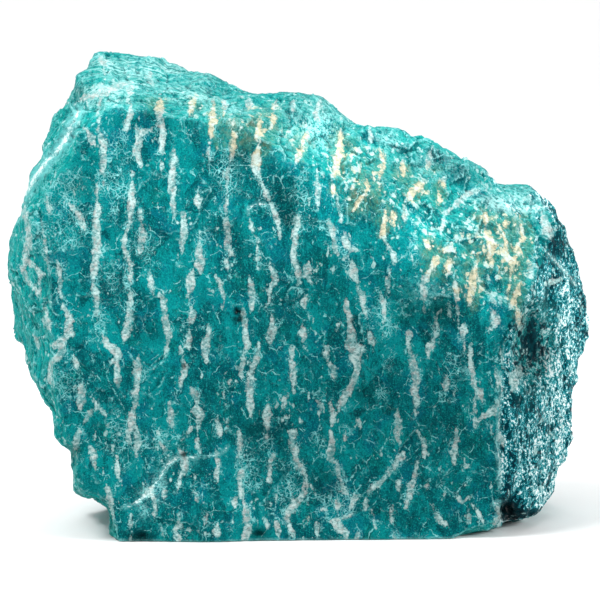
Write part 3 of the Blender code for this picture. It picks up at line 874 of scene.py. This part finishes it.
look = {
    "deepTeal": (0.0005, 0.052, 0.066, 1.0),
    "deepBlue": (0.0005, 0.016, 0.028, 1.0),
    # painted shade, near-black, for the hollow, pits and gaps at the foot
    "paintedShade": (0.0004, 0.018, 0.026, 1.0),
    "teal": (0.0008, 0.132, 0.146, 1.0),
    "brightTeal": (0.0016, 0.225, 0.234, 1.0),
    "vividTeal": (0.006, 0.35, 0.315, 1.0),
    "blueTeal": (0.0010, 0.120, 0.165, 1.0),
    "greenTeal": (0.003, 0.155, 0.125, 1.0),
    "paleCyan": (0.22, 0.60, 0.60, 1.0),
    "bloom": (0.014, 0.34, 0.345, 1.0),
    # pale grainy cyan, partly bleached and partly painted highlight
    "bleachedAndHighlight": (0.36, 0.74, 0.72, 1.0),
    "sheetLine": (0.50, 0.84, 0.82, 1.0),
    "albite": (0.21, 0.41, 0.405, 1.0),
    "albitePale": (0.54, 0.71, 0.69, 1.0),
    "albitePink": (0.43, 0.405, 0.385, 1.0),
    "albiteDark": (0.10, 0.25, 0.245, 1.0),
    "albiteRim": (0.34, 0.60, 0.58, 1.0),
    "ochre": (0.32, 0.20, 0.055, 1.0),
    "olive": (0.075, 0.20, 0.10, 1.0),
    "cream": (0.60, 0.51, 0.31, 1.0),
    # the blue and white of the painted glints on the rough right side
    "blueGlint": (0.010, 0.24, 0.28, 1.0),
    "spark": (0.90, 0.97, 0.97, 1.0),
    # white for worn edges and healed cracks, and for painted highlights on lit edges and the left shoulder
    "rim": (0.78, 0.90, 0.88, 1.0),
}
# Noises: size in mm, or sizes along x, y and z, then detail and roughness.
noises = {
    "broad": ((4.0, 4.0, 6.0), 4.0, 0.6),
    "green": (3.0, 3.0, 0.6),
    "blue": ((3.4, 3.4, 4.4), 3.0, 0.6),
    "mottle": ((0.7, 0.7, 1.1), 4.0, 0.7),
    "fine": (0.26, 3.0, 0.65),
    "dust": (0.2, 2.0, 0.65),
    "fibre": ((0.26, 0.5, 2.4), 3.0, 0.6),
    "sheet": ((5.0, 0.24, 5.0), 3.0, 0.6),
    "clump": ((1.1, 1.1, 1.1), 4.0, 0.7),
    "grain": ((0.55, 0.55, 0.3), 4.0, 0.75),
    "veil": ((1.3, 1.3, 1.8), 3.0, 0.65),
    "cluster": (1.7, 4.0, 0.6),
    "bloom": (0.4, 4.0, 0.75),
    "patchy": (1.3, 3.0, 0.5),
    # pattern of the painted glints and of their small bumps
    "spark": ((0.34, 0.75, 0.44), 3.0, 0.75),
    "patch": ((1.6, 3.2, 2.8), 3.0, 0.6),
    "ragged": ((0.5, 0.5, 0.7), 3.0, 0.65),
    "swell": ((1.4, 1.4, 1.7), 1.0, 0.5),
    "pink": (0.75, 3.0, 0.6),
    "blotch": ((0.8, 0.8, 1.2), 4.0, 0.65),
}
sharedNoises = ("broad", "green", "blue", "mottle", "fine", "dust", "fibre", "sheet", "clump", "grain",
    "veil")
# Nets of cells: size in mm, or sizes along x, y and z.
cellSizes = {
    "shard": (4.2, 4.2, 7.5),
    "chip": (1.3, 1.3, 1.9),
    "lace": 0.6,
    "web": 1.3,
    "speck": 0.42,
    "crack": 2.6,
    "spindle": (1.9, 3.4, 12.0),
    "fleck": (0.85, 1.4, 2.4),
    "blot": (0.95, 1.2, 1.1),
    "facet": 1.0,
    "smallFacet": 0.42,
}
# Layers of the teal ground, one over another: pattern, where it starts and is full, share and colour.
groundLayers = [
    ("broad", 0.5, 0.66, 1.0, "brightTeal"),
    ("green", 0.52, 0.7, 0.6, "greenTeal"),
    ("mottle", 0.54, 0.36, 0.6, "deepTeal"),
    ("mottle", 0.5, 0.7, 0.8, "brightTeal"),
    ("fibre", 0.54, 0.72, 0.5, "bloom"),
    ("fibre", 0.46, 0.3, 0.5, "deepTeal"),
    ("fine", 0.5, 0.3, 0.6, "deepTeal"),
    ("blue", 0.52, 0.62, 0.8, "blueTeal"),
    ("depth", 0.36, 0.12, 0.75, "deepTeal"),
    ("depth", 0.4, 0.62, 0.7, "brightTeal"),
]
dustLayers = [
    ("dust", 0.53, 0.66, 0.55, "vividTeal"),
    ("dust", 0.47, 0.34, 0.6, "deepTeal"),
]
# How noises bend the places, and how high small forms stand.
warping = {"scale": 0.9, "detail": 3.0, "bentMm": 1.1, "easedMm": 0.5}
grainHeights = {"fineMm": 0.03, "streakMm": 0.03, "sheetMm": 0.06, "sparkMm": 0.12}
finish = {
    "shadeLightAndToneStops": 1.3,                    # doublings of the painted light for each unit of painted shade, light and tone
    "facetTilt": 0.16,
    "smallFacetTilt": 0.2,
    "bumpStrength": 0.7,
    "roughness": (0.3, 0.55),
    "streakRoughness": 0.14,             # added on the streaks
    "lightBending": 1.53,
    "specularLevel": 0.015,
    "coatShare": 0.7,                    # on glints and worn edges
    "coatRoughness": 0.16,
}


class Output:
    # A node's output. A sum, difference or product with it makes the maths node for that.
    def __init__(self, nodes, socket):
        self.nodes = nodes
        self.socket = socket

    def __add__(self, other):
        return self.nodes.maths("ADD", self, other)

    def __sub__(self, other):
        return self.nodes.maths("SUBTRACT", self, other)

    def __rsub__(self, other):
        return self.nodes.maths("SUBTRACT", other, self)

    def __mul__(self, other):
        return self.nodes.maths("MULTIPLY", self, other)


class Nodes:
    # Short ways to add nodes to one material. They give back an Output, but add and cells give the node.
    def __init__(self, tree):
        self.tree = tree
        self.count = 0

    def add(self, kind, **settings):
        node = self.tree.nodes.new(kind)
        node.location = (200 * (self.count % 12) - 2600, -220 * (self.count // 12))
        self.count += 1
        for name, value in settings.items():
            setattr(node, name, value)
        return node

    def feed(self, socket, value):
        if isinstance(value, Output):
            value = value.socket
        if isinstance(value, bpy.types.NodeSocket):
            self.tree.links.new(value, socket)
        else:
            socket.default_value = value

    def maths(self, operation, a, b, clamp=False):
        node = self.add("ShaderNodeMath", operation=operation, use_clamp=clamp)
        self.feed(node.inputs[0], a)
        self.feed(node.inputs[1], b)
        return Output(self, node.outputs[0])

    def larger(self, a, b):
        return self.maths("MAXIMUM", a, b)

    def swing(self, pattern, amount):
        # A noise lies around 0.5, so this lies around 0.
        return (pattern - 0.5) * amount

    def vector(self, operation, a, b):
        node = self.add("ShaderNodeVectorMath", operation=operation)
        self.feed(node.inputs[0], a)
        self.feed(node.inputs["Scale" if operation == "SCALE" else 1], b)
        return Output(self, node.outputs["Value" if operation == "DOT_PRODUCT" else "Vector"])

    def span(self, value, low, high, out=(0.0, 1.0)):
        # A soft step from out[0] at low to out[1] at high.
        node = self.add("ShaderNodeMapRange", interpolation_type="SMOOTHSTEP")
        self.feed(node.inputs["Value"], value)
        for name, limit in zip(("From Min", "From Max", "To Min", "To Max"), (low, high, *out)):
            node.inputs[name].default_value = limit
        return Output(self, node.outputs["Result"])

    def mix(self, share, a, b, blend="MIX"):
        # The colours a and b are outputs or names from look, and share is how much of b there is.
        node = self.add("ShaderNodeMix", data_type="RGBA", blend_type=blend)
        self.feed(node.inputs[0], share)
        for socket, colour in ((6, a), (7, b)):
            self.feed(node.inputs[socket], look[colour] if isinstance(colour, str) else colour)
        return Output(self, node.outputs[2])

    def sized(self, where, size):
        # The place and the scale that give a node's pattern this size.
        if isinstance(size, tuple):
            return self.vector("MULTIPLY", where, tuple(1.0 / s for s in size)), 1.0
        return where, 1.0 / size

    def noise(self, where, name):
        size, detail, rough = noises[name]
        node = self.add("ShaderNodeTexNoise", noise_dimensions="3D")
        where, scale = self.sized(where, size)
        self.feed(node.inputs["Vector"], where)
        node.inputs["Scale"].default_value = scale
        node.inputs["Detail"].default_value = detail
        node.inputs["Roughness"].default_value = rough
        return Output(self, node.outputs["Fac"])

    def cells(self, where, name, distance="EUCLIDEAN"):
        node = self.add("ShaderNodeTexVoronoi", voronoi_dimensions="3D", feature="F1", distance=distance)
        where, scale = self.sized(where, cellSizes[name])
        self.feed(node.inputs["Vector"], where)
        node.inputs["Scale"].default_value = scale
        return node

    def edges(self, where, name):
        node = self.cells(where, name)
        node.feature = "DISTANCE_TO_EDGE"
        return Output(self, node.outputs["Distance"])

    def pick(self, net, weights):
        # A number of its own for each cell, from the cell's random colour.
        return self.vector("DOT_PRODUCT", net.outputs["Color"], weights)

    def stored(self, name):
        return Output(self, self.add("ShaderNodeAttribute", attribute_name=name).outputs["Fac"])

    def layers(self, colour, patterns, rows):
        for name, low, high, share, over in rows:
            colour = self.mix(self.span(patterns[name], low, high, (0.0, share)), colour, over)
        return colour


def sharedPatterns(n):
    # The masks kept on the points, the place in mm, plain and bent, and the noises used more than once.
    names = ("streaks", "hairAndLitEdge", "rim", "veinAndLitEdge", "seen", "glint", "front", "bend", *patchTables)
    p = {name: n.stored(name) for name in names}
    place = n.vector("SCALE", n.add("ShaderNodeTexCoord").outputs["Object"], 1.0 / mm)
    warp = n.add("ShaderNodeTexNoise")
    n.feed(warp.inputs["Vector"], place)
    warp.inputs["Scale"].default_value = warping["scale"]
    warp.inputs["Detail"].default_value = warping["detail"]
    p["place"] = place
    p["bent"] = n.vector("ADD", place, n.vector("SCALE", warp.outputs["Color"], warping["bentMm"]))
    p["eased"] = n.vector("ADD", place, n.vector("SCALE", warp.outputs["Color"], warping["easedMm"]))
    for name in sharedNoises:
        p[name] = n.noise(place, name)
    p["across"] = 1.0 - p["front"]
    return p


def tealGround(n, p):
    # Blotched, mottled and a little fibrous, in cleaved patches that each have their own depth of colour.
    shard = n.pick(n.cells(p["bent"], "shard"), (0.42, 0.0, 0.0))
    chip = n.pick(n.cells(p["bent"], "chip"), (0.30, 0.0, 0.0))
    p["depth"] = shard + chip
    ground = n.mix(n.span(p["broad"], 0.34, 0.5), "deepTeal", "teal")
    ground = n.layers(ground, p, groundLayers)
    vivid = p["across"] * n.span(p["mottle"], 0.4, 0.58, (0.3, 0.75))
    ground = n.mix(vivid, ground, "vividTeal")
    return n.layers(ground, p, dustLayers)


def laceCracksAndLitEdges(n, p, ground):
    # Pale bloom, lace and specks lie in clusters.
    cluster = n.span(n.noise(p["place"], "cluster"), 0.46, 0.68, (0.0, 0.8))
    cluster += p["net"] * 0.8
    cluster += n.span(p["streaks"], -0.8, -0.05, (0.0, 0.35))
    bloom = n.span(n.noise(p["bent"], "bloom"), 0.48, 0.66) * cluster
    ground = n.mix(bloom * 0.5, ground, "bloom")
    lace = n.span(n.edges(p["eased"], "lace"), 0.09, 0.02, (0.0, 0.6))
    lace = n.larger(lace, n.span(n.edges(p["eased"], "web"), 0.05, 0.012))
    lace *= n.span(cluster * p["fine"], 0.18, 0.6)
    ground = n.mix(lace * 0.8, ground, "paleCyan")
    specks = n.cells(p["place"], "speck")
    speckSize = n.pick(specks, (0.32, 0.0, 0.0)) * cluster
    speck = n.span(speckSize - specks.outputs["Distance"], -0.03, 0.06, (0.0, 0.85))
    ground = n.mix(speck, ground, "paleCyan")

    # longer cracks, and the hairlines from the table: healed cracks, and painted highlights on lit edges
    patchy = n.span(n.noise(p["place"], "patchy"), 0.5, 0.62)
    cracks = n.span(n.edges(p["bent"], "crack"), 0.03, 0.008)
    cracks *= patchy * n.span(p["fine"], 0.35, 0.55)
    hairAndLitEdgeWidth = p["hairAndLitEdge"] + n.swing(p["mottle"], 0.5)
    hairAndLitEdgeLine = n.span(hairAndLitEdgeWidth, -0.12, -0.02) * n.span(p["fine"], 0.4, 0.58, (0.1, 1.0))
    return n.mix(n.larger(cracks, hairAndLitEdgeLine) * 0.8, ground, "paleCyan")


def bandsWearAndPaintedLight(n, p, ground):
    # Bright bands run along the sheets, on the breaks that cut across them.
    grained = p["sheet"] * 0.6 + p["mottle"] * 0.45
    lines = n.span(grained, 0.55, 0.66) * (p["across"] * 0.14)
    lines = n.maths("ADD", lines, p["band"] * n.span(grained, 0.46, 0.62), clamp=True)
    ground = n.mix(lines, ground, "sheetLine")
    # pale grainy cyan: partly bleached, partly a painted highlight
    bleachAndHighlight = n.span(p["fine"] + p["mottle"], 0.85, 1.2)
    bleachAndHighlight = n.maths("MULTIPLY", bleachAndHighlight, p["bleachedAndHighlight"] * 0.8, clamp=True)
    ground = n.mix(bleachAndHighlight, ground, "bleachedAndHighlight")

    # worn corners are pale, and dents get painted shade in deep teal
    # the left shoulder's rim: partly worn, partly a painted highlight
    rimWidth = p["rim"] + n.swing(p["mottle"], 1.4) + n.swing(p["fine"], 0.9)
    ground = n.mix(n.span(rimWidth, -1.3, 0.1, (0.0, 0.5)), ground, "paleCyan")
    ground = n.mix(n.span(rimWidth, -0.12, 0.3, (0.0, 0.8)), ground, "rim")
    p["wear"] = n.span(p["bend"], 0.03, 0.13) * n.span(p["fine"], 0.35, 0.6, (0.2, 0.8))
    ground = n.mix(p["wear"], ground, "paleCyan")
    return n.mix(n.span(p["bend"], -0.02, -0.1, (0.0, 0.6)), ground, "deepTeal")


def roughSide(n, p, ground):
    # Painted glints on the rough right side: white and pale cyan highlights over a dark blue ground.
    p["spark"] = n.noise(p["eased"], "spark")
    patch = n.noise(p["place"], "patch")
    both = p["spark"] * 0.72 + patch * 0.4 + p["gleam"]
    bright = n.span(both, 0.6, 0.64)
    rough = n.mix(n.span(patch, 0.42, 0.6), "deepBlue", "deepTeal")
    rough = n.mix(n.span(both, 0.49, 0.56), rough, "blueGlint")
    rough = n.mix(n.span(both, 0.565, 0.61), rough, "paleCyan")
    rough = n.mix(bright, rough, "spark")
    p["sparkle"] = bright * p["glint"]
    ground = n.mix(p["glint"] * 0.94, ground, rough)

    # painted shade: near-black in the hollow, the pits and the gaps at the foot
    paintedShadeColour = n.mix(n.span(p["mottle"], 0.42, 0.6), "paintedShade", "deepTeal")
    paintedShadeShare = n.span(p["paintedShade"] - n.swing(p["clump"], 4.0), 0.35, 0.75)
    paintedShadeShare *= n.span(p["paintedShade"], 0.05, 0.3)
    ground = n.mix(paintedShadeShare, ground, paintedShadeColour)

    # white healed cracks, worn edges and painted highlights on lit edges, each with a faint halo
    veinAndLitEdgeWidth = p["veinAndLitEdge"] + n.swing(p["mottle"], 0.9) + n.swing(p["fine"], 0.6)
    halo = n.span(veinAndLitEdgeWidth, -0.4, 0.12, (0.0, 0.35)) * n.span(p["clump"], 0.38, 0.5, (0.2, 1.0))
    ground = n.mix(halo, ground, "paleCyan")
    core = n.span(veinAndLitEdgeWidth, 0.02, 0.2, (0.0, 0.65)) * n.span(p["fine"], 0.4, 0.56, (0.1, 1.0))
    return n.mix(core, ground, "rim")


def albiteField(n, p):
    # How deep in mm a place lies in albite: the picture's streaks, spindles on the hidden sides, and flecks.
    spindle = n.cells(p["bent"], "spindle", "MANHATTAN")
    hiddenField = (n.pick(spindle, (0.84, 0.0, 0.0)) - spindle.outputs["Distance"]) * 1.9
    hiddenField -= p["seen"] * 4.0
    fleckShare = p["flecks"] + p["across"] * 0.3
    fleck = n.cells(p["bent"], "fleck", "MANHATTAN")
    fleckSize = n.pick(fleck, (0.0, 0.66, 0.0)) + (fleckShare * 0.3 - 0.36)
    blot = n.cells(p["bent"], "blot")
    blotSize = n.pick(blot, (0.0, 0.0, 0.6)) * fleckShare
    fleckField = fleckSize - fleck.outputs["Distance"]
    p["fleckField"] = n.larger(fleckField, blotSize - blot.outputs["Distance"])
    field = n.larger(n.larger(p["streaks"], hiddenField), p["fleckField"])

    # edges that wander
    ragged = n.swing(n.noise(p["place"], "ragged"), 1.1) + n.swing(p["fine"], 0.45)
    ragged += n.swing(n.noise(p["place"], "swell"), 1.1)
    return field + (ragged - (0.1 - p["across"] * 0.06))


def albiteStreaks(n, p, ground):
    field = p["field"] = albiteField(n, p)
    grain, veil = p["grain"], p["veil"]
    solid = n.span(grain * 0.6 + veil * 0.6, 0.46, 0.6, (0.45, 0.93))
    p["albite"] = n.span(field, -0.15, 0.13) * solid
    albite = n.mix(n.span(grain, 0.54, 0.36, (0.0, 0.8)), "albite", "albiteDark")
    albite = n.mix(n.span(n.noise(p["place"], "pink"), 0.47, 0.6, (0.0, 0.7)), albite, "albitePink")
    pale = grain * 0.7 + veil * 0.45
    albite = n.mix(n.span(pale, 0.54, 0.68, (0.0, 0.9)), albite, "albitePale")
    rimShare = n.span(field, 0.24, 0.04) * n.span(veil, 0.44, 0.6, (0.0, 0.8))
    small = n.span(p["fleckField"] - p["streaks"], 0.0, 0.2, (0.0, 0.7))
    albite = n.mix(n.larger(rimShare, small), albite, "albiteRim")
    return n.mix(p["albite"], ground, albite)


def ochreStain(n, p, colour):
    # Cream within the streaks, ochre at their edges, and olive on the teal.
    stained = n.span(p["stain"] + n.swing(n.noise(p["place"], "blotch"), 1.6), 0.2, 0.8)
    stained *= n.span(p["stain"], 0.05, 0.3)
    inner = p["field"] + n.swing(p["fine"], 0.5)
    onStreak = n.mix(n.span(inner, -0.02, 0.16), "ochre", "cream")
    onStreak = n.mix(n.span(p["veil"], 0.5, 0.62, (0.0, 0.7)), onStreak, "albitePale")
    onStreak = n.mix(n.span(p["grain"], 0.48, 0.34, (0.0, 0.6)), onStreak, "ochre")
    colour = n.mix(n.maths("MULTIPLY", stained * p["albite"], 0.75, clamp=True), colour, onStreak)
    onTeal = n.mix(n.span(p["mottle"], 0.5, 0.64, (0.0, 0.6)), "olive", "ochre")
    tealShare = (1.0 - p["albite"]) * n.span(p["mottle"], 0.36, 0.54, (0.15, 1.0))
    return n.mix(n.maths("MULTIPLY", stained * tealShare, 0.36, clamp=True), colour, onTeal)


def withPaintedShadeLightAndTone(n, p, colour):
    # Painted shade and painted light, with some tone that differs at random: the colour is darkened or
    # lightened patch by patch.
    grey = n.add("ShaderNodeCombineColor")
    bright = n.maths("POWER", 2.0, p["paintedShadeLightAndTone"] * finish["shadeLightAndToneStops"])
    for socket in grey.inputs:
        n.feed(socket, bright)
    return n.mix(1.0, colour, grey.outputs[0], "MULTIPLY")


def facets(n, where, name, tilt):
    # Small flats that lean their own way, as a height in mm.
    net = n.cells(where, name)
    fromMiddle = n.vector("SUBTRACT", where, net.outputs["Position"])
    lean = n.vector("SUBTRACT", net.outputs["Color"], (0.5, 0.5, 0.5))
    return n.vector("DOT_PRODUCT", fromMiddle, lean) * tilt


def grainNormal(n, p):
    height = facets(n, p["place"], "facet", finish["facetTilt"])
    height += facets(n, p["bent"], "smallFacet", finish["smallFacetTilt"])
    height += p["fine"] * grainHeights["fineMm"]
    height += p["albite"] * grainHeights["streakMm"]
    height += p["sheet"] * p["across"] * grainHeights["sheetMm"]
    height += p["spark"] * p["glint"] * grainHeights["sparkMm"]
    bump = n.add("ShaderNodeBump")
    bump.inputs["Strength"].default_value = finish["bumpStrength"]
    bump.inputs["Distance"].default_value = mm
    n.feed(bump.inputs["Height"], height)
    return bump.outputs[0]


def stoneMaterial():
    material = bpy.data.materials.new("green-blue perthite")
    material.use_nodes = True
    shader = material.node_tree.nodes["Principled BSDF"]
    n = Nodes(material.node_tree)
    p = sharedPatterns(n)
    colour = tealGround(n, p)
    for step in (laceCracksAndLitEdges, bandsWearAndPaintedLight, roughSide, albiteStreaks, ochreStain, withPaintedShadeLightAndTone):
        colour = step(n, p, colour)
    roughness = n.span(p["mottle"], 0.3, 0.7, finish["roughness"])
    roughness += p["albite"] * finish["streakRoughness"]
    coat = n.maths("ADD", p["sparkle"], p["wear"], clamp=True) * finish["coatShare"]
    n.feed(shader.inputs["Base Color"], colour)
    n.feed(shader.inputs["Roughness"], roughness)
    n.feed(shader.inputs["Normal"], grainNormal(n, p))
    n.feed(shader.inputs["Coat Weight"], coat)
    shader.inputs["Coat Roughness"].default_value = finish["coatRoughness"]
    shader.inputs["IOR"].default_value = finish["lightBending"]
    shader.inputs["Specular IOR Level"].default_value = finish["specularLevel"]
    return material


piece.data.materials.append(stoneMaterial())
bpy.ops.object.shade_smooth()
piece.name = "rough_perthite"
piece.data.name = "rough_perthite"
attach(piece, "root")
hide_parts("perthite_stone")
print("stone finished,", len(piece.data.polygons), "faces")


# Floor, light and air

studio = {
    "floorSize": 6.0,
    "floorColour": (0.80, 0.80, 0.80, 1.0),
    "floorRoughness": 0.8,
    "air": (1.0, 1.0, 1.0, 1.0),
    "airStrength": 0.58,
    "aim": Vector((0.0, 0.0, 0.03)),     # of all lamps but the floor lamp
    # name: place, size and power in watts
    "lamps": {
        "key lamp": (Vector((-0.22, -0.13, 0.42)), 0.16, 1.65),
        "front lamp": (Vector((-0.25, -0.95, 0.40)), 0.50, 0.7),
        "right lamp": (Vector((0.55, -0.22, 0.30)), 0.20, 2.7),
        "top lamp": (Vector((-0.10, 0.30, 1.60)), 2.00, 12.5),
        "floor lamp": (Vector((0.0, 1.25, 1.00)), 0.80, 5.0),
    },
}


def makeFloor():
    bpy.ops.mesh.primitive_plane_add(size=studio["floorSize"], location=(0, 0, 0))
    floor = bpy.context.object
    floor.name = "floor"
    material = bpy.data.materials.new("pale floor")
    material.use_nodes = True
    shader = material.node_tree.nodes["Principled BSDF"]
    shader.inputs["Base Color"].default_value = studio["floorColour"]
    shader.inputs["Roughness"].default_value = studio["floorRoughness"]
    floor.data.materials.append(material)


def makeLamps():
    for name, (place, size, power) in studio["lamps"].items():
        aim = Vector((place.x, place.y, 0.0)) if name == "floor lamp" else studio["aim"]
        turn = (aim - place).to_track_quat("-Z", "Y").to_euler()
        bpy.ops.object.light_add(type="AREA", location=place, rotation=turn)
        lamp = bpy.context.object
        lamp.name = name
        lamp.data.size = size
        lamp.data.energy = power
    world = bpy.data.worlds.new("studio air")
    world.use_nodes = True
    world.node_tree.nodes["Background"].inputs["Color"].default_value = studio["air"]
    world.node_tree.nodes["Background"].inputs["Strength"].default_value = studio["airStrength"]
    bpy.context.scene.world = world
    bpy.context.scene.view_settings.view_transform = "Standard"


makeFloor()
makeLamps()
print("floor and light made")
